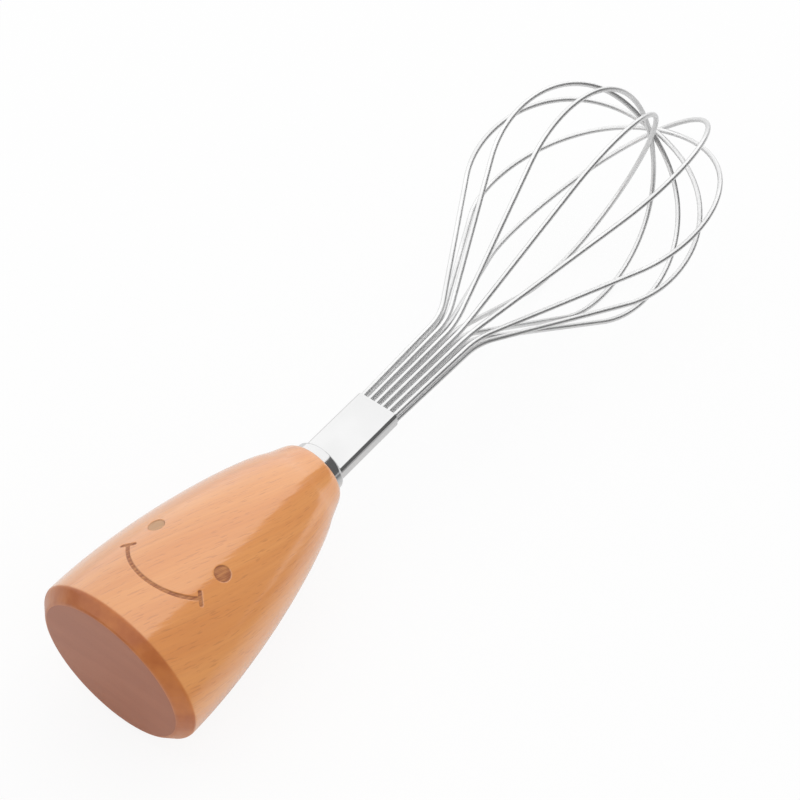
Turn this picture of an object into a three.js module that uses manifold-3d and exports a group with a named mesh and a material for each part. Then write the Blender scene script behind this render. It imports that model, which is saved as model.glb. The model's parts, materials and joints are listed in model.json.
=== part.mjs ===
// Egg whisk: turned beech handle, steel collar, flat steel sleeve and six wire loops stacked at the tip.
// Millimetres, +Z up. Pieces are made on the whisk's own axis, which is +X from the base of the handle
// to the tip of the wires. At the end the whole whisk is laid on the table, with its origin on the table.
import * as THREE from 'three';
import { mergeVertices } from 'three/addons/utils/BufferGeometryUtils.js';
import Module from 'manifold-3d';

// Driving dimensions of the handle
const HANDLE_LENGTH = 78;
const HANDLE_RADIUS = 25.2;
const BASE_EDGE_LENGTH = 3.9;
const BASE_EDGE_INSET = 3.2;
const BASE_EDGE_SIDE_BULGE = 0.7;
const BASE_EDGE_FACE_BULGE = 1;
const BELLY_PULL = 28;
const SHOULDER_RISE = 4.7;
const SHOULDER_PULL = 8;
const SHOULDER_ANGLE = 27;
const NOSE_LENGTH = 8.5;
const NOSE_PULL = 5.5;
const NOSE_LIP = 0.4;
const NOSE_FACE_PULL = 2;

// Driving dimensions of the collar
const COLLAR_WALL = 0.5;
const COLLAR_ROOM = 0.35;
const COLLAR_REACH = 3.6;
const COLLAR_SEAT = 6;
const COLLAR_EDGE = 1.2;

// Driving dimensions of the sleeve and the tang inside it
const SLEEVE_WALL = 0.4;
const SLEEVE_REACH = 23.6;
const SLEEVE_SEAT = 8;
const SLEEVE_CORNER = 1.2;
const TANG_THICKNESS = 0.6;
const TANG_SIDE_GAP = 1.4;
const TANG_SETBACK = 2;
const TANG_DEPTH = 30;

// Driving dimensions of the wires
const LOOPS = 6;
const WIRE_DIAMETER = 1.5;
const WIRE_SPACING = 0.67;
const WIRE_FAN = 0.43;
const WIRE_SETBACK = 1;
const BEND_REACH = 35.8;
const BEND_ROUND = 5;
const FLARE_LENGTH = 41.9;
const INNER_FLARE_RADIUS = 28.2;
const FLARE_RADIUS_STEP = 0.52;
const DOME_PULL = 23.2;
const DOME_LENGTH = 59.4;
const CROWN_PULL = 31.6;
const INNER_LEAN = -1.3;
const LEAN_STEP = 1.13;
const LOOP_GAP = 0.4;

// Fits: between pieces that slide together, and between pieces that seat in each other
const CLEARANCE = 0.2;
const SEAT_GAP = 0.3;

// Fineness of the faceted surfaces
const TURNED_SIDES = 48;
const EDGE_STEPS = 4;
const BELLY_STEPS = 12;
const NOSE_STEPS = 5;
const CORNER_STEPS = 4;
const WIRE_SIDES = 8;
const BEND_STEPS = 4;
const DOME_STEPS = 14;

// Places along the axis, from the base face of the handle
const collarFront = HANDLE_LENGTH + COLLAR_REACH;
const collarBack = HANDLE_LENGTH - COLLAR_SEAT;
const sleeveBack = collarFront - SLEEVE_SEAT;
const mouth = collarFront + SLEEVE_REACH;
const bend = mouth + BEND_REACH;
const flareEnd = bend + FLARE_LENGTH;
const outerTip = flareEnd + DOME_LENGTH;
const boreBottom = HANDLE_LENGTH - TANG_DEPTH - SEAT_GAP;

// Sizes across the axis that follow from the wires: rows of legs, tang, sleeve, collar and bores
const wireRadius = WIRE_DIAMETER / 2;
const wirePitch = WIRE_DIAMETER + WIRE_SPACING;
const loopStep = WIRE_DIAMETER + LOOP_GAP;
const innermostRib = Math.floor(LOOPS / 2);
const rowHeight = TANG_THICKNESS / 2 + CLEARANCE + wireRadius;
const sleeveHoleWidth = (LOOPS - 1) * wirePitch + WIRE_DIAMETER + 2 * CLEARANCE;
const sleeveHoleHeight = 2 * (rowHeight + wireRadius + CLEARANCE);
const sleeveWidth = sleeveHoleWidth + 2 * SLEEVE_WALL;
const sleeveHeight = sleeveHoleHeight + 2 * SLEEVE_WALL;
const sleeveDiagonal = Math.hypot(sleeveWidth / 2 - SLEEVE_CORNER, sleeveHeight / 2 - SLEEVE_CORNER);
const collarHoleRadius = sleeveDiagonal + SLEEVE_CORNER + COLLAR_ROOM;
const collarRadius = collarHoleRadius + COLLAR_WALL;
const collarSeatRadius = collarRadius + SEAT_GAP;
const noseRadius = collarSeatRadius + NOSE_LIP;
const shoulderRadius = noseRadius + SHOULDER_RISE;
const tangWidth = sleeveHoleWidth - 2 * TANG_SIDE_GAP;
const boreRadius = Math.hypot(tangWidth, TANG_THICKNESS) / 2 + SEAT_GAP;

// Materials
const beech = () => new THREE.MeshStandardMaterial({ color: 0xdfa173, roughness: 0.42, metalness: 0 });
const polishedSteel = () => new THREE.MeshStandardMaterial({ color: 0xd4d4d2, roughness: 0.2, metalness: 1 });
const plainSteel = () => new THREE.MeshStandardMaterial({ color: 0xa9abad, roughness: 0.45, metalness: 1 });

// Turns a profile of (radius, place along the axis) points round the whisk's axis
function turned(profile) {
  const geometry = new THREE.LatheGeometry(profile, TURNED_SIDES);
  return geometry.rotateZ(-Math.PI / 2);
}

// Extrudes an outline drawn across the axis, from one place on the axis to another
function alongAxis(outline, start, end) {
  const geometry = new THREE.ExtrudeGeometry(outline, {
    depth: end - start,
    bevelEnabled: false,
    curveSegments: CORNER_STEPS,
  });
  const across = new THREE.Vector3(0, 1, 0);
  const up = new THREE.Vector3(0, 0, 1);
  const along = new THREE.Vector3(1, 0, 0);
  geometry.applyMatrix4(new THREE.Matrix4().makeBasis(across, up, along));
  return geometry.translate(start, 0, 0);
}

// Draws a rectangle with round corners, centred on the axis
function roundedRectangle(path, width, height, corner) {
  const x = width / 2 - corner;
  const y = height / 2 - corner;
  path.moveTo(width / 2, -y);
  path.absarc(x, y, corner, 0, Math.PI / 2);
  path.absarc(-x, y, corner, Math.PI / 2, Math.PI);
  path.absarc(-x, -y, corner, Math.PI, 1.5 * Math.PI);
  path.absarc(x, -y, corner, 1.5 * Math.PI, 2 * Math.PI);
  return path;
}

// Cuts one closed geometry out of another
const wasm = await Module();
wasm.setup();

function solid(geometry) {
  const bare = geometry.clone();
  bare.deleteAttribute('normal');
  bare.deleteAttribute('uv');
  const merged = mergeVertices(bare);
  const vertProperties = new Float32Array(merged.attributes.position.array);
  const triVerts = new Uint32Array(merged.index.array);
  return new wasm.Manifold(new wasm.Mesh({ numProp: 3, vertProperties, triVerts }));
}

function cut(body, tool) {
  const mesh = solid(body).subtract(solid(tool)).getMesh();
  const geometry = new THREE.BufferGeometry();
  geometry.setAttribute('position', new THREE.BufferAttribute(mesh.vertProperties, 3));
  geometry.setIndex(new THREE.BufferAttribute(mesh.triVerts, 1));
  geometry.computeVertexNormals();
  return geometry;
}

function piece(name, geometry, material) {
  const mesh = new THREE.Mesh(geometry, material);
  mesh.name = name;
  return mesh;
}

// Handle: a bell turned from one piece, with a seat for the collar and a drilled bore for the tang
function handle() {
  const shoulder = HANDLE_LENGTH - NOSE_LENGTH;
  const slope = THREE.MathUtils.degToRad(SHOULDER_ANGLE);
  const baseEdge = new THREE.QuadraticBezierCurve(
    new THREE.Vector2(HANDLE_RADIUS - BASE_EDGE_INSET, 0),
    new THREE.Vector2(HANDLE_RADIUS - BASE_EDGE_SIDE_BULGE, BASE_EDGE_FACE_BULGE),
    new THREE.Vector2(HANDLE_RADIUS, BASE_EDGE_LENGTH),
  );
  const bell = new THREE.CubicBezierCurve(
    new THREE.Vector2(HANDLE_RADIUS, BASE_EDGE_LENGTH),
    new THREE.Vector2(HANDLE_RADIUS, BASE_EDGE_LENGTH + BELLY_PULL),
    new THREE.Vector2(
      shoulderRadius + SHOULDER_PULL * Math.sin(slope),
      shoulder - SHOULDER_PULL * Math.cos(slope),
    ),
    new THREE.Vector2(shoulderRadius, shoulder),
  );
  const nose = new THREE.CubicBezierCurve(
    new THREE.Vector2(shoulderRadius, shoulder),
    new THREE.Vector2(shoulderRadius - NOSE_PULL * Math.sin(slope), shoulder + NOSE_PULL * Math.cos(slope)),
    new THREE.Vector2(noseRadius + NOSE_FACE_PULL, HANDLE_LENGTH),
    new THREE.Vector2(noseRadius, HANDLE_LENGTH),
  );
  const seatBottom = collarBack - SEAT_GAP;
  return turned([
    new THREE.Vector2(0, 0),
    ...baseEdge.getPoints(EDGE_STEPS),
    ...bell.getPoints(BELLY_STEPS).slice(1),
    ...nose.getPoints(NOSE_STEPS).slice(1),
    new THREE.Vector2(collarSeatRadius, HANDLE_LENGTH),
    new THREE.Vector2(collarSeatRadius, seatBottom),
    new THREE.Vector2(boreRadius, seatBottom),
    new THREE.Vector2(boreRadius, boreBottom),
    new THREE.Vector2(0, boreBottom),
  ]);
}

// Collar: a shallow cup with a rounded front edge, open at the back, with a slot for the sleeve
function collar() {
  const edge = new THREE.Path();
  edge.absarc(collarRadius - COLLAR_EDGE, collarFront - COLLAR_EDGE, COLLAR_EDGE, 0, Math.PI / 2);
  const cup = turned([
    new THREE.Vector2(0, collarFront - COLLAR_WALL),
    new THREE.Vector2(collarHoleRadius - COLLAR_EDGE, collarFront - COLLAR_WALL),
    new THREE.Vector2(collarHoleRadius, collarFront - COLLAR_EDGE),
    new THREE.Vector2(collarHoleRadius, collarBack),
    new THREE.Vector2(collarRadius, collarBack),
    ...edge.getPoints(EDGE_STEPS),
    new THREE.Vector2(0, collarFront),
  ]);
  const slot = roundedRectangle(
    new THREE.Shape(),
    sleeveWidth + 2 * CLEARANCE,
    sleeveHeight + 2 * CLEARANCE,
    SLEEVE_CORNER + CLEARANCE,
  );
  return cut(cup, alongAxis(slot, collarFront - COLLAR_EDGE - COLLAR_WALL, collarFront + COLLAR_WALL));
}

// Sleeve: a flat box tube with round corners, from inside the collar to the mouth where the wires come out
function sleeve() {
  const outline = roundedRectangle(new THREE.Shape(), sleeveWidth, sleeveHeight, SLEEVE_CORNER);
  const innerCorner = SLEEVE_CORNER - SLEEVE_WALL;
  outline.holes.push(roundedRectangle(new THREE.Path(), sleeveHoleWidth, sleeveHoleHeight, innerCorner));
  return alongAxis(outline, sleeveBack, mouth);
}

// Tang: a flat tongue between the two rows of wires, which runs back into the bore of the handle
function tang() {
  const outline = new THREE.Shape();
  outline.moveTo(-tangWidth / 2, -TANG_THICKNESS / 2);
  outline.lineTo(tangWidth / 2, -TANG_THICKNESS / 2);
  outline.lineTo(tangWidth / 2, TANG_THICKNESS / 2);
  outline.lineTo(-tangWidth / 2, TANG_THICKNESS / 2);
  return alongAxis(outline, HANDLE_LENGTH - TANG_DEPTH, mouth - TANG_SETBACK);
}

// A wire's route through chosen stations, so that straight stretches take one step each
class WireRoute extends THREE.Curve {
  constructor(stations) {
    super();
    this.stations = stations;
  }

  getPoint(t, target = new THREE.Vector3()) {
    const place = t * (this.stations.length - 1);
    const index = Math.min(Math.floor(place), this.stations.length - 2);
    return target.lerpVectors(this.stations[index], this.stations[index + 1], place - index);
  }

  getPointAt(u, target) {
    return this.getPoint(u, target);
  }

  getTangentAt(u, target) {
    return this.getTangent(u, target);
  }
}

// Place of a leg in its row: the legs fan out a little between the mouth and the bend
function legAt(place, slot, row) {
  const pitch = wirePitch + WIRE_FAN * ((place - mouth) / BEND_REACH);
  return new THREE.Vector3(place, slot * pitch, row * rowHeight);
}

// Half a loop: a leg in its row, the bend, a straight flare and a dome that ends at the crown of the loop
function ribStations(slot, row, angle, radius, crown, lean) {
  const outward = new THREE.Vector3(0, Math.cos(angle), Math.sin(angle));
  const tail = legAt(sleeveBack + WIRE_SETBACK, slot, row);
  const corner = legAt(bend, slot, row);
  const leanThere = lean * (FLARE_LENGTH / (crown.x - bend));
  const flare = outward.clone().multiplyScalar(radius + leanThere).setX(flareEnd);
  const legRun = corner.clone().sub(tail).normalize();
  const flareRun = flare.clone().sub(corner).normalize();
  const round = new THREE.QuadraticBezierCurve3(
    corner.clone().addScaledVector(legRun, -BEND_ROUND),
    corner,
    corner.clone().addScaledVector(flareRun, BEND_ROUND),
  );
  const dome = new THREE.CubicBezierCurve3(
    flare,
    flare.clone().addScaledVector(flareRun, DOME_PULL),
    crown.clone().addScaledVector(outward, CROWN_PULL),
    crown,
  );
  return [tail, ...round.getPoints(BEND_STEPS), ...dome.getPoints(DOME_STEPS)];
}

// Wire loop: an upper leg and the opposite lower leg, joined over the tip; index 0 is innermost.
// Each loop is a little wider than the one inside it, and leans a little further towards its upper leg.
function wireLoop(index) {
  const rib = (innermostRib - index + LOOPS) % LOOPS;
  const angle = (rib + 0.5) * (Math.PI / LOOPS);
  const slot = (LOOPS - 1) / 2 - rib;
  const radius = INNER_FLARE_RADIUS + index * FLARE_RADIUS_STEP;
  const lean = INNER_LEAN + index * LEAN_STEP;
  const tip = outerTip - (LOOPS - 1 - index) * loopStep;
  const crown = new THREE.Vector3(tip, lean * Math.cos(angle), lean * Math.sin(angle));
  const upper = ribStations(slot, 1, angle, radius, crown, lean);
  const lower = ribStations(-slot, -1, angle + Math.PI, radius, crown, -lean);
  const stations = [...upper, ...lower.reverse().slice(1)];
  const section = new THREE.Shape();
  section.absarc(0, 0, wireRadius, 0, 2 * Math.PI);
  return new THREE.ExtrudeGeometry(section, {
    steps: stations.length - 1,
    curveSegments: WIRE_SIDES / 2,
    extrudePath: new WireRoute(stations),
    bevelEnabled: false,
  });
}

// The whisk on its own axis
const axis = new THREE.Group();
axis.add(piece('handle', handle(), beech()));
axis.add(piece('collar', collar(), polishedSteel()));
axis.add(piece('sleeve', sleeve(), polishedSteel()));
axis.add(piece('tang', tang(), plainSteel()));
for (let index = 0; index < LOOPS; index += 1) {
  axis.add(piece(`wire_loop_${index + 1}`, wireLoop(index), polishedSteel()));
}

// Finds how far the whisk tips up when it lies on the edge of its handle and on its lowest ribs
function restTilt() {
  const foot = new THREE.Vector2(BASE_EDGE_LENGTH, -HANDLE_RADIUS);
  let tilt = -Infinity;
  for (const child of axis.children.filter((mesh) => mesh.name.startsWith('wire_loop'))) {
    const position = child.geometry.attributes.position;
    for (let i = 0; i < position.count; i += 1) {
      const reach = position.getX(i) - foot.x;
      const drop = foot.y - position.getZ(i);
      tilt = Math.max(tilt, Math.atan2(drop, reach));
    }
  }
  return tilt;
}

// Lays the whisk down, with the origin on the table under the middle of its box
axis.rotation.y = -restTilt();
const box = new THREE.Box3().setFromObject(axis, true);
const middle = box.getCenter(new THREE.Vector3());
axis.position.set(-middle.x, -middle.y, -box.min.z);

const whisk = new THREE.Group();
whisk.name = 'egg_whisk';
whisk.add(axis);

export default whisk;
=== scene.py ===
"""Looks of the egg whisk: turned beech handle with a burnt smile, steel collar and sleeve, polished wires."""
import json
import math

import bmesh
import bpy
from mathutils import Matrix, Vector


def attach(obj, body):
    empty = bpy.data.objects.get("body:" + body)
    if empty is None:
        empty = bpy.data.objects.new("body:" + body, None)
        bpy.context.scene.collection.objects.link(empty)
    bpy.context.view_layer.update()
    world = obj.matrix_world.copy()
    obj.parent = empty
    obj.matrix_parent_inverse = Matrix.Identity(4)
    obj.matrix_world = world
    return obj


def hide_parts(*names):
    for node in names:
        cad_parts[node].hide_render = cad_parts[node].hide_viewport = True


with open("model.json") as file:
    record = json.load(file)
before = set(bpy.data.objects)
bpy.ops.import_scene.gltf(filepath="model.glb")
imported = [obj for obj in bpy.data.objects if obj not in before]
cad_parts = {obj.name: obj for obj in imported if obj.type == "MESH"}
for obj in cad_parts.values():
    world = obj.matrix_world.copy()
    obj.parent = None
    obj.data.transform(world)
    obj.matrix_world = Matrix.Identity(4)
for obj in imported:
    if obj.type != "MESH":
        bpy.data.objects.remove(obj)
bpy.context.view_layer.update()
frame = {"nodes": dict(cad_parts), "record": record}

# Everything is modelled in millimetres on the whisk's own axis, +X from the base face to the wire tips.
# The base face of the handle gives the place and the tilt of that axis.
MM = 0.001
BASE_FACE = next(m for m in frame["record"]["mounts"] if m["name"] == "base_face")
AXIS = -Vector(BASE_FACE["axis"]).normalized()
TILT = math.atan2(AXIS.z, AXIS.x)
LAID = Matrix.Translation(BASE_FACE["pos_m"]) @ Matrix.Rotation(-TILT, 4, "Y")
PLACE = LAID @ Matrix.Scale(MM, 4)

# Handle, millimetres
HANDLE_LENGTH = 78
HANDLE_RADIUS = 25.2
BASE_EDGE_LENGTH = 3.9
BASE_EDGE_INSET = 3.2
CHAMFER_LENGTH = 2.5
CHAMFER_RISE = 2.65
FACE_EDGE_SOFTNESS = 0.7
BELLY_PULL = 28
SHOULDER_RADIUS = 13.2
SHOULDER_PULL = 8
SHOULDER_ANGLE = math.radians(27)
NOSE_LENGTH = 8.5
NOSE_PULL = 5.5
NOSE_RADIUS = 8.5
NOSE_FACE_PULL = 2
SEAT_RADIUS = 8.1
SEAT_DEPTH = 6.3
BORE_RADIUS = 5.3
BORE_DEPTH = 30.3
END_GRAIN_DEPTH = 0.02

# Burnt smile on the top of the handle, millimetres along the axis and round the wood
SMILE_TURN = math.radians(-4.3)
SMILE_LOW = 14.8
SMILE_RADIUS = 15.8
SMILE_HALF_WIDTH = 12.4
SMILE_LINE = 1.0
SMILE_MARGIN = 5
TICK_LENGTH = 3.3
EYE_PLACE = 29.9
EYE_OFFSET = 11.4
EYE_RADIUS = 2.27
BURN_DEPTH = 0.28
BURN_EDGE = 0.14

# Collar and sleeve, millimetres
COLLAR_RADIUS = 7.8
COLLAR_WALL = 0.5
COLLAR_BACK = 72
COLLAR_FRONT = 81.6
COLLAR_EDGE = 1.2
SLEEVE_WIDTH = 13.55
SLEEVE_HEIGHT = 5.2
SLEEVE_CORNER = 1.6
SLEEVE_WALL = 0.4
SLEEVE_RIM = 0.1
SLEEVE_BACK = 73.6
MOUTH = 105.2
SLOT_GAP = 0.2

# Wires, millimetres
LOOPS = 6
INNERMOST_RIB = LOOPS // 2
WIRE_RADIUS = 0.75
WIRE_PITCH = 2.17
WIRE_FAN = 0.43
WIRE_TAIL = 74.6
ROW_HEIGHT = 1.25
BEND = 141
BEND_ROUND = 5
FLARE_END = 182.9
INNER_FLARE_RADIUS = 28.2
FLARE_RADIUS_STEP = 0.52
DOME_PULL = 23.2
OUTER_TIP = 242.3
CROWN_PULL = 31.6
INNER_LEAN = -1.3
LEAN_STEP = 1.13
LOOP_STEP = 1.9

# Fineness of the meshes: steps along and round each stretch, and the turn past which an edge stays sharp
HANDLE_SIDES = 192
BASE_RINGS = 12
FACE_EDGE_STEPS = 6
CHAMFER_STEPS = 4
BASE_ROUND_STEPS = 10
BELL_STEPS = 72
NOSE_STEPS = 16
HANDLE_CREASE = math.radians(18)
SMILE_CUTS = 7
SMILE_CUT_REACH = 1.1
COLLAR_SIDES = 128
COLLAR_EDGE_STEPS = 10
SLEEVE_CORNER_STEPS = 8
SLEEVE_RIM_STEPS = 3
SHEET_CREASE = math.radians(40)
LEG_STEPS = 12
BEND_STEPS = 8
FLARE_STEPS = 12
DOME_STEPS = 48
WIRE_ROUND_STEPS = 5
WIRE_CREASE = math.radians(50)
WELD = 1e-4

# Grain of the beech: its slant to the handle's axis, and the radius on which its pattern is drawn
GRAIN_SLANT = math.tan(math.radians(17))
GRAIN_RADIUS = 21

# Beech: hex colours, pattern sizes in millimetres along the grain and across it, and shares of colour
BEECH_COLOURS = ("D98A44", "E39A54")
BAND_SIZE = (110, 7, 7)
FIBRE_COLOUR = "CB8149"
FIBRE_SIZE = (16, 0.5, 0.5)
FIBRE_SPAN = (0.35, 0.75)
FIBRE_SHARE = 0.25
GROWTH_LINE_COLOUR = "B87340"
GROWTH_LINE_SIZE = (70, 0.8, 0.8)
GROWTH_LINE_SPAN = (0.68, 0.76)
GROWTH_LINE_SHARE = 0.3
FLECK_COLOUR = "B0683A"
FLECK_SIZE = (3.2, 0.4, 0.4)
FLECK_SPAN = (0.6, 0.72)
FLECK_SHARE = 0.34
BARE_EDGE_COLOURS = ("AE5C26", "C47436")
BARE_EDGE_BLOTCH = (9, 9, 9)
BARE_EDGE_END = (BASE_EDGE_LENGTH - 0.9, BASE_EDGE_LENGTH - 0.3)
BURNT_COLOURS = ("94542F", "BC7C48")
SCORCH_SIZE = (5, 0.6, 0.6)
SCORCH_SPAN = (0.35, 0.65)
BURNT_RIM_COLOUR = "7A4526"
BURNT_RIM_SHARE = 0.6
# Painted reflection: the burnt eye on the +Y side is lightened towards this colour, standing in for the light
# its floor mirrors
EYE_REFLECTION_COLOUR = "C9A179"
EYE_REFLECTION_SHARE = 0.75
END_GRAIN_COLOURS = ("A66344", "AB6848")
RING_SIZE = (30, 26, 5)
PORE_COLOUR = "8A5238"
PORE_SIZE = (0.45, 0.45, 0.45)
PORE_SPAN = (0.58, 0.72)
PORE_SHARE = 0.14

# Relief of the lacquered beech: the height of the lacquer's ripple in fibre heights, and the depth in metres
RIPPLE_SIZE = (14, 2.4, 2.4)
RIPPLE_HEIGHT = 24
RELIEF_DEPTH = 0.0001
SIDE_RELIEF = 0.05
END_RELIEF = 0.03

# Steel: hex colours, and patterns in millimetres
SHEET_COLOURS = ("D0D0D0", "D6D6D6")
WIRE_COLOURS = ("D8D8D8", "E2E2E2")
STRIP_COLOURS = ("A9ABAD", "B4B6B8")
STEEL_PATCH = (16, 16, 16)
DRAW_LINE_WIDTH = 0.3
DRAW_LINE_GLOSS = 0.06

# Patchy patterns change between these levels of their noise
PATCHY = (0.3, 0.7)

# Studio, metres and levels where 1 is white. Mirrored light is bright above and behind the whisk and dim
# towards the camera. Fill light rises from the base end to the wire end. A mirrored floor fades to dim away
# from the whisk, over the spans given.
BACK_LIGHT = (-0.05, 0.86, 0.51)
BACK_LIGHT_EDGE = (-0.02, 0.02)
MIRRORED_LIGHT = (0.15, 1.4)
FILL_FROM = (0.75, -0.65, 0)
FILL_SPREAD = (-0.7, 0.7)
FILL_LIGHT = (0.55, 1.1)
WHITE = (1, 1, 1, 1)
FLOOR_SIZE = 6
FLOOR_COLOUR = (0.9, 0.9, 0.9, 1)
FLOOR_WHITE_SHARE = 0.89
FLOOR_MIRRORED_SHARE = 0.15
FLOOR_FADE_BASE = (-0.3, -0.15)
FLOOR_FADE_SIDE = (-0.1, -0.015)
FLOOR_FADE_FAR = (-0.25, -0.12)
FLOOR_FADE_WIRES = (0.0, 0.05)
SOFTBOX_SIZE = (1.6, 1.6)
SOFTBOX_PLACE = (0.3, 0.5, 0.9)
SOFTBOX_BRIGHTNESS = 0.5

# Camera, found from the photograph: millimetres and angles on the whisk's own axis
CAMERA_TARGET = Vector((100, 0, 0))
CAMERA_DISTANCE = 602
CAMERA_HEIGHT_ANGLE = math.radians(51.24)
CAMERA_HEADING = math.radians(39.14)
CAMERA_ROLL = math.radians(-0.79)
CAMERA_ASIDE = -9.15
CAMERA_LIFT = -5.62
CAMERA_LENS = 101
SENSOR = 36


# Helpers for curves
def bezier(points, steps):
    """Points along a Bezier curve of any order, both ends included."""
    line = []
    for i in range(steps + 1):
        level = [Vector(p) for p in points]
        while len(level) > 1:
            level = [a.lerp(b, i / steps) for a, b in zip(level, level[1:])]
        line.append(level[0])
    return line


def smooth_step(low, high, value):
    t = min(max((value - low) / (high - low), 0), 1)
    return t * t * (3 - 2 * t)


# Helpers for pieces
def finish_piece(name, bm, materials, node):
    """Turns a mesh modelled on the whisk's axis into a piece that stands for a CAD node."""
    bm.transform(PLACE)
    mesh = bpy.data.meshes.new(name)
    bm.to_mesh(mesh)
    bm.free()
    for material in materials:
        mesh.materials.append(material)
    piece = bpy.data.objects.new(name, mesh)
    bpy.context.scene.collection.objects.link(piece)
    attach(piece, "root")
    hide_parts(node)
    return piece


def spin_profile(bm, profile, sides):
    """Turns a profile of (place, radius) points round the whisk's axis into a closed skin."""
    verts = [bm.verts.new((place, 0, radius)) for place, radius in profile]
    edges = [bm.edges.new(pair) for pair in zip(verts, verts[1:])]
    bmesh.ops.spin(
        bm, geom=verts + edges, cent=(0, 0, 0), axis=(1, 0, 0), angle=2 * math.pi, steps=sides, use_merge=True
    )
    bmesh.ops.remove_doubles(bm, verts=bm.verts[:], dist=WELD)
    bmesh.ops.recalc_face_normals(bm, faces=bm.faces[:])


def shade_smooth(bm, crease):
    """Shades a mesh smooth, apart from edges that turn by more than the crease, so that flats stay flat."""
    for face in bm.faces:
        face.smooth = True
    for edge in bm.edges:
        if len(edge.link_faces) == 2 and edge.calc_face_angle(0) > crease:
            edge.smooth = False


# Handle
def handle_profile():
    """Outline of the turned handle from the base face to the nose: base edge, bell and nose."""
    face_radius = HANDLE_RADIUS - BASE_EDGE_INSET
    chamfer_end = (CHAMFER_LENGTH, face_radius + CHAMFER_RISE)
    corner = CHAMFER_LENGTH * BASE_EDGE_INSET / CHAMFER_RISE
    soft_share = FACE_EDGE_SOFTNESS / math.hypot(CHAMFER_LENGTH, CHAMFER_RISE)
    soft_end = (CHAMFER_LENGTH * soft_share, face_radius + CHAMFER_RISE * soft_share)
    bell_start = (BASE_EDGE_LENGTH, HANDLE_RADIUS)
    face_edge = bezier([(0, face_radius - FACE_EDGE_SOFTNESS), (0, face_radius), soft_end], FACE_EDGE_STEPS)
    chamfer = bezier([soft_end, chamfer_end], CHAMFER_STEPS)
    rounding = bezier([chamfer_end, (corner, HANDLE_RADIUS), bell_start], BASE_ROUND_STEPS)
    base_edge = face_edge + chamfer[1:] + rounding[1:]

    shoulder = HANDLE_LENGTH - NOSE_LENGTH
    along = math.cos(SHOULDER_ANGLE)
    inward = math.sin(SHOULDER_ANGLE)
    bell = bezier(
        [
            bell_start,
            (BASE_EDGE_LENGTH + BELLY_PULL, HANDLE_RADIUS),
            (shoulder - SHOULDER_PULL * along, SHOULDER_RADIUS + SHOULDER_PULL * inward),
            (shoulder, SHOULDER_RADIUS),
        ],
        BELL_STEPS,
    )
    nose = bezier(
        [
            (shoulder, SHOULDER_RADIUS),
            (shoulder + NOSE_PULL * along, SHOULDER_RADIUS - NOSE_PULL * inward),
            (HANDLE_LENGTH, NOSE_RADIUS + NOSE_FACE_PULL),
            (HANDLE_LENGTH, NOSE_RADIUS),
        ],
        NOSE_STEPS,
    )
    return base_edge, bell[1:], nose[1:]


def radius_at(outline, place):
    """Radius of the turned outline at a place along the axis."""
    for low, high in zip(outline, outline[1:]):
        if low.x <= place < high.x:
            return low.lerp(high, (place - low.x) / (high.x - low.x)).y
    return outline[-1].y


def segment_distance(point, start, end):
    run = end - start
    t = min(max((point - start).dot(run) / run.length_squared, 0), 1)
    return (point - start - run * t).length


def smile_distance(co):
    """Distance from the burnt lines, negative inside them, on the unrolled side of the handle."""
    arc = math.hypot(co.y, co.z) * (math.atan2(co.y, co.z) - SMILE_TURN)
    point = Vector((co.x, abs(arc)))
    centre = Vector((SMILE_LOW + SMILE_RADIUS, 0))
    drop = math.sqrt(SMILE_RADIUS**2 - SMILE_HALF_WIDTH**2)
    end = Vector((centre.x - drop, SMILE_HALF_WIDTH))
    tick = (end - centre).normalized() * (TICK_LENGTH / 2)
    spoke = point - centre
    on_arc = spoke.x < 0 and spoke.y * drop <= -spoke.x * SMILE_HALF_WIDTH
    arc_line = abs(spoke.length - SMILE_RADIUS) if on_arc else (point - end).length
    tick_line = segment_distance(point, end - tick, end + tick)
    eye = (point - Vector((EYE_PLACE, EYE_OFFSET))).length - EYE_RADIUS
    return min(eye, min(arc_line, tick_line) - SMILE_LINE / 2)


def burn_smile(bm, outline):
    """Sinks the smile into the top of the handle, on a finer mesh, and keeps it as an attribute."""
    burn = bm.verts.layers.float.new("burn")

    def beside_smile(co):
        return SMILE_LOW - SMILE_MARGIN < co.x < EYE_PLACE + SMILE_MARGIN

    middles = [(face, face.calc_center_median()) for face in bm.faces]
    near = [face for face, co in middles if beside_smile(co) and smile_distance(co) < SMILE_CUT_REACH]
    edges = list({edge for face in near for edge in face.edges})
    bmesh.ops.subdivide_edges(bm, edges=edges, cuts=SMILE_CUTS, use_grid_fill=True)
    for vert in bm.verts:
        if beside_smile(vert.co):
            vert[burn] = 1 - smooth_step(-BURN_EDGE, BURN_EDGE, smile_distance(vert.co))
            radius = radius_at(outline, vert.co.x) - BURN_DEPTH * vert[burn]
            scale = radius / math.hypot(vert.co.y, vert.co.z)
            vert.co.y *= scale
            vert.co.z *= scale


def lay_grain(bm):
    """Keeps, for each point, its place along the handle and its turn round it, drawn on an even cylinder.

    The grain winds slowly round the handle, so the turn grows with the place along it."""
    grain = bm.verts.layers.float_vector.new("grain")
    for vert in bm.verts:
        turn = math.atan2(vert.co.y, vert.co.z) + vert.co.x * GRAIN_SLANT / GRAIN_RADIUS
        vert[grain] = (vert.co.x, GRAIN_RADIUS * math.sin(turn), GRAIN_RADIUS * math.cos(turn))


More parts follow.
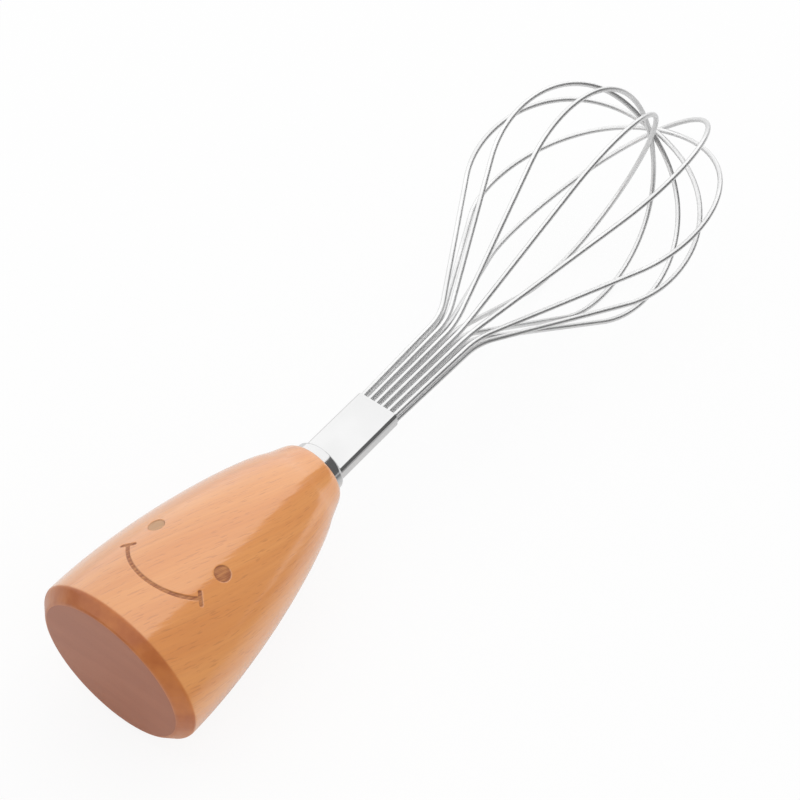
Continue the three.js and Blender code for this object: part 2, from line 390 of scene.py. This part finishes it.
def make_handle(side_grain, end_grain):
    base_edge, bell, nose = handle_profile()
    seat_bottom = HANDLE_LENGTH - SEAT_DEPTH
    bore_bottom = HANDLE_LENGTH - BORE_DEPTH
    seat = [
        (HANDLE_LENGTH, SEAT_RADIUS),
        (seat_bottom, SEAT_RADIUS),
        (seat_bottom, BORE_RADIUS),
        (bore_bottom, BORE_RADIUS),
        (bore_bottom, 0),
    ]
    base_rings = [(0, base_edge[0].y * i / BASE_RINGS) for i in range(BASE_RINGS)]
    bm = bmesh.new()
    spin_profile(bm, base_rings + base_edge + bell + nose + seat, HANDLE_SIDES)
    shade_smooth(bm, HANDLE_CREASE)
    for face in bm.faces:
        face.material_index = int(face.calc_center_median().x < END_GRAIN_DEPTH)
    burn_smile(bm, bell)
    lay_grain(bm)
    finish_piece("beech_handle", bm, [side_grain, end_grain], "handle")


# Collar and sleeve
def rounded_bar(bm, width, height, corner, start, end):
    """Makes a bar with round corners along the axis and returns its two end faces."""
    bmesh.ops.create_grid(bm, x_segments=1, y_segments=1, size=0.5)
    bmesh.ops.scale(bm, vec=(width, height, 1), verts=bm.verts[:])
    bmesh.ops.bevel(
        bm,
        geom=bm.verts[:],
        offset=corner,
        offset_type="OFFSET",
        affect="VERTICES",
        segments=SLEEVE_CORNER_STEPS,
        profile=0.5,
        material=-1,
    )
    across_axis = Matrix(((0, 0, 1), (1, 0, 0), (0, 1, 0)))
    bmesh.ops.rotate(bm, cent=(0, 0, 0), matrix=across_axis, verts=bm.verts[:])
    bmesh.ops.translate(bm, vec=(start, 0, 0), verts=bm.verts[:])
    back = bm.faces[:][0]
    grown = bmesh.ops.extrude_face_region(bm, geom=[back], use_keep_orig=True)["geom"]
    front = next(item for item in grown if isinstance(item, bmesh.types.BMFace))
    bmesh.ops.translate(bm, vec=(end - start, 0, 0), verts=front.verts[:])
    bmesh.ops.recalc_face_normals(bm, faces=bm.faces[:])
    return back, front


def make_sleeve(steel):
    bm = bmesh.new()
    ends = rounded_bar(bm, SLEEVE_WIDTH, SLEEVE_HEIGHT, SLEEVE_CORNER, SLEEVE_BACK, MOUTH)
    bmesh.ops.inset_region(bm, faces=list(ends), thickness=SLEEVE_WALL, use_even_offset=True)
    inner_edges = [edge for face in ends for edge in face.edges]
    bmesh.ops.delete(bm, geom=list(ends), context="FACES_ONLY")
    bmesh.ops.bridge_loops(bm, edges=inner_edges)
    bmesh.ops.recalc_face_normals(bm, faces=bm.faces[:])
    at_mouth = [edge for edge in bm.edges if all(vert.co.x > MOUTH - SLEEVE_RIM for vert in edge.verts)]
    bmesh.ops.bevel(
        bm,
        geom=[edge for edge in at_mouth if edge.calc_face_angle(0) > SHEET_CREASE],
        offset=SLEEVE_RIM,
        offset_type="OFFSET",
        affect="EDGES",
        segments=SLEEVE_RIM_STEPS,
        profile=0.5,
        material=-1,
    )
    shade_smooth(bm, SHEET_CREASE)
    piece = finish_piece("steel_sleeve", bm, [steel], "sleeve")
    piece.modifiers.new("flat_sides", "WEIGHTED_NORMAL").keep_sharp = True


def cut_out(bm, cutter):
    """Cuts one closed mesh out of another."""
    objects = []
    for shape in (bm, cutter):
        mesh = bpy.data.meshes.new("cutting")
        shape.to_mesh(mesh)
        shape.free()
        objects.append(bpy.data.objects.new("cutting", mesh))
        bpy.context.scene.collection.objects.link(objects[-1])
    body, tool = objects
    boolean = body.modifiers.new("slot", "BOOLEAN")
    boolean.object = tool
    boolean.solver = "EXACT"
    done = bmesh.new()
    done.from_object(body, bpy.context.evaluated_depsgraph_get())
    for item in objects:
        mesh = item.data
        bpy.data.objects.remove(item)
        bpy.data.meshes.remove(mesh)
    return done


def make_collar(steel):
    hole_radius = COLLAR_RADIUS - COLLAR_WALL
    edge_centre = Vector((COLLAR_FRONT - COLLAR_EDGE, COLLAR_RADIUS - COLLAR_EDGE))
    turns = [math.pi / 2 * i / COLLAR_EDGE_STEPS for i in range(COLLAR_EDGE_STEPS + 1)]
    edge = [edge_centre + COLLAR_EDGE * Vector((math.sin(turn), math.cos(turn))) for turn in turns]
    cup = [
        (COLLAR_FRONT - COLLAR_WALL, 0),
        (COLLAR_FRONT - COLLAR_WALL, hole_radius - COLLAR_EDGE),
        (COLLAR_FRONT - COLLAR_EDGE, hole_radius),
        (COLLAR_BACK, hole_radius),
        (COLLAR_BACK, COLLAR_RADIUS),
    ]
    bm = bmesh.new()
    spin_profile(bm, cup + edge + [(COLLAR_FRONT, 0)], COLLAR_SIDES)
    slot = bmesh.new()
    rounded_bar(
        slot,
        SLEEVE_WIDTH + 2 * SLOT_GAP,
        SLEEVE_HEIGHT + 2 * SLOT_GAP,
        SLEEVE_CORNER + SLOT_GAP,
        COLLAR_FRONT - COLLAR_EDGE - COLLAR_WALL,
        COLLAR_FRONT + COLLAR_WALL,
    )
    bm = cut_out(bm, slot)
    shade_smooth(bm, SHEET_CREASE)
    piece = finish_piece("steel_collar", bm, [steel], "collar")
    piece.modifiers.new("flat_front", "WEIGHTED_NORMAL").keep_sharp = True


# Wires
def leg_point(place, slot, row):
    """A point on a wire's leg. The legs lie side by side in two rows, and fan out from the mouth on."""
    pitch = WIRE_PITCH + WIRE_FAN * (place - MOUTH) / (BEND - MOUTH)
    return Vector((place, slot * pitch, row * ROW_HEIGHT))


def rib_points(slot, row, angle, radius, crown, lean):
    """Half a loop: a leg in its row, the bend, a straight flare and a dome that ends at the crown."""
    outward = Vector((0, math.cos(angle), math.sin(angle)))
    tail = leg_point(WIRE_TAIL, slot, row)
    corner = leg_point(BEND, slot, row)
    lean_there = lean * (FLARE_END - BEND) / (crown.x - BEND)
    flare_end = outward * (radius + lean_there) + Vector((FLARE_END, 0, 0))
    leg_run = (corner - tail).normalized()
    flare_run = (flare_end - corner).normalized()
    leg = bezier([tail, corner - leg_run * BEND_ROUND], LEG_STEPS)
    bend = bezier([leg[-1], corner, corner + flare_run * BEND_ROUND], BEND_STEPS)
    flare = bezier([bend[-1], flare_end], FLARE_STEPS)
    dome_pulls = [flare_end + flare_run * DOME_PULL, crown + outward * CROWN_PULL]
    dome = bezier([flare_end, *dome_pulls, crown], DOME_STEPS)
    return leg + bend[1:] + flare[1:] + dome[1:]


def wire_along(points):
    """A round wire with closed ends along the points."""
    curve = bpy.data.curves.new("wire_route", "CURVE")
    curve.dimensions = "3D"
    curve.bevel_depth = WIRE_RADIUS
    curve.bevel_resolution = WIRE_ROUND_STEPS
    curve.use_fill_caps = True
    spline = curve.splines.new("POLY")
    spline.points.add(len(points) - 1)
    for knot, point in zip(spline.points, points):
        knot.co = (*point, 1)
    route = bpy.data.objects.new("wire_route", curve)
    bm = bmesh.new()
    bm.from_mesh(route.to_mesh())
    bpy.data.objects.remove(route)
    bpy.data.curves.remove(curve)
    bmesh.ops.remove_doubles(bm, verts=bm.verts[:], dist=WELD)
    bmesh.ops.recalc_face_normals(bm, faces=bm.faces[:])
    return bm


def make_wire_loop(index, steel):
    rib = (INNERMOST_RIB - index) % LOOPS
    angle = (rib + 0.5) * math.pi / LOOPS
    slot = (LOOPS - 1) / 2 - rib
    radius = INNER_FLARE_RADIUS + index * FLARE_RADIUS_STEP
    lean = INNER_LEAN + index * LEAN_STEP
    tip = OUTER_TIP - (LOOPS - 1 - index) * LOOP_STEP
    crown = Vector((tip, lean * math.cos(angle), lean * math.sin(angle)))
    upper = rib_points(slot, 1, angle, radius, crown, lean)
    lower = rib_points(-slot, -1, angle + math.pi, radius, crown, -lean)
    bm = wire_along(upper + lower[-2::-1])
    shade_smooth(bm, WIRE_CREASE)
    name = f"wire_loop_{index + 1}"
    finish_piece(f"steel_{name}", bm, [steel], name)


# Helpers for materials and light
def srgb(text):
    """Linear colour of a written hex colour."""
    parts = [int(text[i : i + 2], 16) / 255 for i in (0, 2, 4)]
    return (*(c / 12.92 if c <= 0.04045 else ((c + 0.055) / 1.055) ** 2.4 for c in parts), 1)


class Nodes:
    """Short names for building a node tree."""

    def __init__(self, tree):
        self.tree = tree

    def add(self, kind, **settings):
        """Adds a node, and sets its sockets or its own settings by name."""
        node = self.tree.nodes.new(kind)
        for key, value in settings.items():
            socket = key.replace("_", " ")
            if socket in node.inputs:
                node.inputs[socket].default_value = value
            else:
                setattr(node, key, value)
        return node

    def feed(self, value, socket):
        """Links an output to a socket, or sets the socket to a plain value."""
        if isinstance(value, bpy.types.NodeSocket):
            self.tree.links.new(value, socket)
        else:
            socket.default_value = value

    def math(self, operation, *values):
        node = self.add("ShaderNodeMath", operation=operation)
        for value, socket in zip(values, node.inputs):
            self.feed(value, socket)
        return node.outputs[0]

    def times(self, first, second):
        return self.math("MULTIPLY", first, second)

    def most(self, first, second):
        return self.math("MAXIMUM", first, second)

    def linear(self, source, slope, start):
        return self.math("MULTIPLY_ADD", source, slope, start)

    def grade(self, source, span, levels=(0, 1)):
        """Smooth change from one level to another while the source crosses a span."""
        node = self.add("ShaderNodeMapRange", interpolation_type="SMOOTHSTEP")
        for key, value in zip(("From Min", "From Max", "To Min", "To Max"), (*span, *levels)):
            node.inputs[key].default_value = value
        self.feed(source, node.inputs["Value"])
        return node.outputs["Result"]

    def split(self, place):
        """The parts of a place along X and along Y."""
        node = self.add("ShaderNodeSeparateXYZ")
        self.feed(place, node.inputs["Vector"])
        return node.outputs["X"], node.outputs["Y"]

    def blend(self, factor, first, second):
        """Mixes two shaders."""
        node = self.add("ShaderNodeMixShader")
        for value, socket in zip((factor, first, second), node.inputs):
            self.feed(value, socket)
        return node.outputs["Shader"]

    def seen_rays(self):
        """Two factors: 1 for rays straight from the camera, and 1 for these and rays by mirror or glass."""
        path = self.add("ShaderNodeLightPath")
        straight = path.outputs["Is Camera Ray"]
        mirrored = path.outputs["Is Glossy Ray"]
        through = path.outputs["Is Transmission Ray"]
        return straight, self.most(straight, self.most(mirrored, through))


class Finish(Nodes):
    """The material of a piece, with patterns in millimetres."""

    def __init__(self, name):
        self.material = bpy.data.materials.new(name)
        self.material.use_nodes = True
        super().__init__(self.material.node_tree)
        self.shader = self.tree.nodes["Principled BSDF"]

    def whisk_place(self):
        """Millimetres on the whisk's axis, from the middle of its base."""
        place = self.add("ShaderNodeTexCoord").outputs["Object"]
        to_axis = PLACE.inverted()
        on_axis = self.add(
            "ShaderNodeMapping",
            Location=to_axis.to_translation(),
            Rotation=to_axis.to_euler(),
            Scale=to_axis.to_scale(),
        )
        self.feed(place, on_axis.inputs["Vector"])
        return on_axis.outputs["Vector"]

    def attribute(self, name, output):
        return self.add("ShaderNodeAttribute", attribute_name=name).outputs[output]

    def noise(self, place, size, detail, roughness=0.5):
        """Noise whose patches have the given size in millimetres along, across and up."""
        shape = self.add("ShaderNodeMapping", Scale=[1 / length for length in size])
        self.feed(place, shape.inputs["Vector"])
        node = self.add("ShaderNodeTexNoise", Scale=1.0, Detail=detail, Roughness=roughness)
        self.feed(shape.outputs["Vector"], node.inputs["Vector"])
        return node.outputs["Fac"]

    def mix(self, factor, first, second):
        """Mixes two colours. A Mix node has its colour sockets after those for numbers and vectors."""
        node = self.add("ShaderNodeMix", data_type="RGBA")
        for value, socket in zip((factor, first, second), (node.inputs[0], *node.inputs[6:8])):
            self.feed(value, socket)
        return node.outputs[2]

    def between(self, factor, colours):
        """Mixes two hex colours."""
        return self.mix(factor, *(srgb(colour) for colour in colours))

    def tint(self, colour, factor, share, other):
        """Lays a share of a hex colour over a colour, where the factor is high."""
        return self.mix(self.times(factor, share), colour, srgb(other))

    def shade(self, **sources):
        """Links outputs to the shader's sockets, or sets these to plain values."""
        for key, source in sources.items():
            self.feed(source, self.shader.inputs[key.replace("_", " ")])

    def relief(self, height, strength):
        """Bump on the wood and on the lacquer over it."""
        node = self.add("ShaderNodeBump", Strength=strength, Distance=RELIEF_DEPTH)
        self.feed(height, node.inputs["Height"])
        self.shade(Normal=node.outputs["Normal"], Coat_Normal=node.outputs["Normal"])


# Materials
def beech_side():
    """Lacquered beech: soft bands and short flecks along the grain, a bare base edge, the burnt smile with a
    painted reflection in one eye.
    """
    wood = Finish("beech side grain")
    grain = wood.attribute("grain", "Vector")
    place = wood.whisk_place()
    along, across = wood.split(place)
    bands = wood.noise(grain, BAND_SIZE, detail=3, roughness=0.55)
    fibres = wood.noise(grain, FIBRE_SIZE, detail=2)
    flecks = wood.grade(wood.noise(grain, FLECK_SIZE, detail=1, roughness=0.4), FLECK_SPAN)
    lines = wood.grade(wood.noise(grain, GROWTH_LINE_SIZE, detail=1), GROWTH_LINE_SPAN)
    colour = wood.between(wood.grade(bands, PATCHY), BEECH_COLOURS)
    colour = wood.tint(colour, wood.grade(fibres, FIBRE_SPAN), FIBRE_SHARE, FIBRE_COLOUR)
    colour = wood.tint(colour, lines, GROWTH_LINE_SHARE, GROWTH_LINE_COLOUR)
    colour = wood.tint(colour, flecks, FLECK_SHARE, FLECK_COLOUR)

    on_edge = wood.grade(along, BARE_EDGE_END, (1, 0))
    blotches = wood.noise(place, BARE_EDGE_BLOTCH, detail=3, roughness=0.55)
    colour = wood.mix(on_edge, colour, wood.between(wood.grade(blotches, PATCHY), BARE_EDGE_COLOURS))

    burn = wood.attribute("burn", "Fac")
    burnt = wood.between(
        wood.grade(wood.noise(grain, SCORCH_SIZE, detail=2, roughness=0.6), SCORCH_SPAN), BURNT_COLOURS
    )
    # Painted reflection: the burnt eye on the +Y side is tinted paler, standing in for the light mirrored
    # from its floor
    near_eyes = wood.grade(along, (EYE_PLACE - 2 * EYE_RADIUS, EYE_PLACE - 1.5 * EYE_RADIUS))
    painted_eye_reflection = wood.times(near_eyes, wood.grade(across, (0, EYE_RADIUS)))
    burnt = wood.tint(burnt, painted_eye_reflection, EYE_REFLECTION_SHARE, EYE_REFLECTION_COLOUR)
    # The rim is 1 half way into the burn and 0 outside it and at its bottom
    rim = wood.times(burn, wood.linear(burn, -4, 4))
    burnt = wood.tint(burnt, rim, BURNT_RIM_SHARE, BURNT_RIM_COLOUR)

    lacquer = wood.times(wood.linear(burn, slope=-0.7, start=1), wood.linear(on_edge, slope=-0.95, start=1))
    wood.shade(
        Base_Color=wood.mix(burn, colour, burnt),
        Roughness=wood.linear(burn, slope=0.4, start=0.34),
        Coat_Weight=lacquer,
    )
    wood.shade(IOR=1.55, Coat_IOR=1.7, Coat_Roughness=0.14)
    ripple = wood.times(wood.noise(grain, RIPPLE_SIZE, detail=2), RIPPLE_HEIGHT)
    wood.relief(wood.math("SUBTRACT", wood.math("ADD", ripple, fibres), flecks), SIDE_RELIEF)
    return wood.material


def beech_end():
    """Beech end grain on the base face: darker and even, with faint growth rings and fine pores."""
    wood = Finish("beech end grain")
    place = wood.whisk_place()
    rings = wood.noise(place, RING_SIZE, detail=2)
    pores = wood.grade(wood.noise(place, PORE_SIZE, detail=1), PORE_SPAN)
    colour = wood.between(wood.grade(rings, PATCHY), END_GRAIN_COLOURS)
    wood.shade(Base_Color=wood.tint(colour, pores, PORE_SHARE, PORE_COLOUR))
    wood.shade(Roughness=0.45, Specular_IOR_Level=0.2, Coat_Weight=0.3, Coat_Roughness=0.25)
    wood.relief(pores, END_RELIEF)
    return wood.material


def polished_steel(name, colours, roughness, line_length):
    """Polished stainless steel, a little uneven in tone, with draw lines that only change its gloss."""
    steel = Finish(name)
    place = steel.whisk_place()
    line_size = (line_length, DRAW_LINE_WIDTH, DRAW_LINE_WIDTH)
    lines = steel.noise(place, line_size, detail=2, roughness=0.6)
    patches = steel.noise(place, STEEL_PATCH, detail=2)
    steel.shade(
        Base_Color=steel.between(steel.grade(patches, PATCHY), colours),
        Roughness=steel.linear(lines, DRAW_LINE_GLOSS, roughness),
        Metallic=1,
    )
    return steel.material


def white_floor():
    """White paper that keeps the whisk's shadow. Mirrored, it is dim away from the whisk."""
    material = bpy.data.materials.new("white floor")
    material.use_nodes = True
    material.node_tree.nodes.clear()
    floor = Nodes(material.node_tree)
    straight, seen = floor.seen_rays()
    along, across = floor.split(floor.add("ShaderNodeTexCoord").outputs["Object"])

    def fade(source, span):
        return floor.grade(source, span, (1, 0))

    white_share = floor.most(
        floor.times(straight, FLOOR_WHITE_SHARE), floor.times(seen, FLOOR_MIRRORED_SHARE)
    )
    beside = floor.times(fade(across, FLOOR_FADE_SIDE), fade(along, FLOOR_FADE_WIRES))
    beyond = floor.most(fade(along, FLOOR_FADE_BASE), fade(across, FLOOR_FADE_FAR))
    mirrored_only = floor.math("SUBTRACT", seen, straight)
    dim_share = floor.times(floor.most(beyond, beside), mirrored_only)
    paper = floor.add("ShaderNodeBsdfDiffuse", Color=FLOOR_COLOUR).outputs["BSDF"]
    white = floor.add("ShaderNodeEmission", Color=WHITE).outputs["Emission"]
    dim = floor.add("ShaderNodeEmission", Color=WHITE, Strength=MIRRORED_LIGHT[0]).outputs["Emission"]
    surface = floor.blend(dim_share, floor.blend(white_share, paper, white), dim)
    floor.feed(surface, floor.add("ShaderNodeOutputMaterial").inputs["Surface"])
    return material


# Studio: white floor, a large soft light above and behind, and a dim side towards the camera
def make_world():
    world = bpy.data.worlds.new("studio")
    bpy.context.scene.world = world
    world.use_nodes = True
    world.node_tree.nodes.clear()
    studio = Nodes(world.node_tree)
    straight, seen = studio.seen_rays()
    direction = studio.add("ShaderNodeTexCoord").outputs["Generated"]

    def along(axis):
        node = studio.add("ShaderNodeVectorMath", operation="DOT_PRODUCT")
        for value, socket in zip((direction, axis), node.inputs):
            studio.feed(value, socket)
        return node.outputs["Value"]

    def background(colour):
        node = studio.add("ShaderNodeBackground")
        studio.feed(colour, node.inputs["Color"])
        return node.outputs["Background"]

    fill = background(studio.grade(along(FILL_FROM), FILL_SPREAD, FILL_LIGHT))
    mirrored = background(studio.grade(along(BACK_LIGHT), BACK_LIGHT_EDGE, MIRRORED_LIGHT))
    light = studio.blend(straight, studio.blend(seen, fill, mirrored), background(WHITE))
    studio.feed(light, studio.add("ShaderNodeOutputWorld").inputs["Surface"])


def make_floor():
    bm = bmesh.new()
    bmesh.ops.create_grid(bm, x_segments=1, y_segments=1, size=FLOOR_SIZE)
    mesh = bpy.data.meshes.new("floor")
    bm.to_mesh(mesh)
    bm.free()
    mesh.materials.append(white_floor())
    floor = bpy.data.objects.new("floor", mesh)
    bpy.context.scene.collection.objects.link(floor)


def make_softbox():
    light = bpy.data.lights.new("softbox", "AREA")
    light.shape = "RECTANGLE"
    light.size, light.size_y = SOFTBOX_SIZE
    light.energy = SOFTBOX_BRIGHTNESS * math.pi * light.size * light.size_y
    softbox = bpy.data.objects.new("softbox", light)
    softbox.location = SOFTBOX_PLACE
    softbox.visible_camera = False
    softbox.visible_glossy = False
    bpy.context.scene.collection.objects.link(softbox)


def make_camera():
    forward = Vector(
        (
            math.cos(CAMERA_HEIGHT_ANGLE) * math.cos(CAMERA_HEADING),
            math.cos(CAMERA_HEIGHT_ANGLE) * math.sin(CAMERA_HEADING),
            -math.sin(CAMERA_HEIGHT_ANGLE),
        )
    )
    level = Vector((math.sin(CAMERA_HEADING), -math.cos(CAMERA_HEADING), 0))
    top = level.cross(forward)
    right = level * math.cos(CAMERA_ROLL) + top * math.sin(CAMERA_ROLL)
    up = top * math.cos(CAMERA_ROLL) - level * math.sin(CAMERA_ROLL)
    eye = CAMERA_TARGET - forward * CAMERA_DISTANCE - right * CAMERA_ASIDE - up * CAMERA_LIFT
    turn = Matrix((right, up, -forward)).transposed().to_4x4()
    data = bpy.data.cameras.new("camera")
    data.sensor_width = SENSOR
    data.lens = CAMERA_LENS
    camera = bpy.data.objects.new("camera", data)
    camera.matrix_world = LAID @ Matrix.Translation(eye * MM) @ turn
    bpy.context.scene.collection.objects.link(camera)
    bpy.context.scene.camera = camera


make_camera()
make_world()
make_floor()
make_softbox()
bpy.context.scene.view_settings.view_transform = "Standard"

make_handle(beech_side(), beech_end())
sheet_steel = polished_steel("polished sheet steel", SHEET_COLOURS, roughness=0.1, line_length=9)
wire_steel = polished_steel("polished wire steel", WIRE_COLOURS, roughness=0.36, line_length=8)
strip_steel = polished_steel("plain strip steel", STRIP_COLOURS, roughness=0.35, line_length=12)
make_collar(sheet_steel)
make_sleeve(sheet_steel)
for loop_index in range(LOOPS):
    make_wire_loop(loop_index, wire_steel)
tang = frame["nodes"]["tang"]
tang.data.materials.clear()
tang.data.materials.append(strip_steel)
